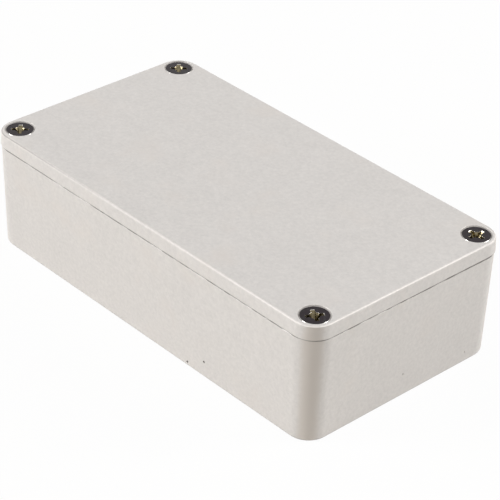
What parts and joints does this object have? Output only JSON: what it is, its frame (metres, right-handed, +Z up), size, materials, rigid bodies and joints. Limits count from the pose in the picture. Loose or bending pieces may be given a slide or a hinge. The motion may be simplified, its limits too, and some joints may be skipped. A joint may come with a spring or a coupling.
{
  "type": "die cast box",
  "caption": "Rectangular die cast aluminium box with rounded corners, sloping sides and a rimmed lid held by recessed flathead screws at its corners.",
  "frame": {"origin": "middle of the underside, on the surface that the box stands on", "axes": "+X along the box's length, +Y along its width, +Z up, out of the lid's top face"},
  "size_m": [0.1124, 0.0604, 0.031],
  "materials": {
    "cast_body": "as-cast, matt",
    "cast_lid": "as-cast, matt",
    "screw_steel": "bright plated"
  },
  "bodies": {
    "root": {"box_body": "cast_body", "lid": "cast_lid", "lid_screw_front_left": "screw_steel", "lid_screw_front_right": "screw_steel", "lid_screw_rear_left": "screw_steel", "lid_screw_rear_right": "screw_steel"}
  },
  "joints": []
}
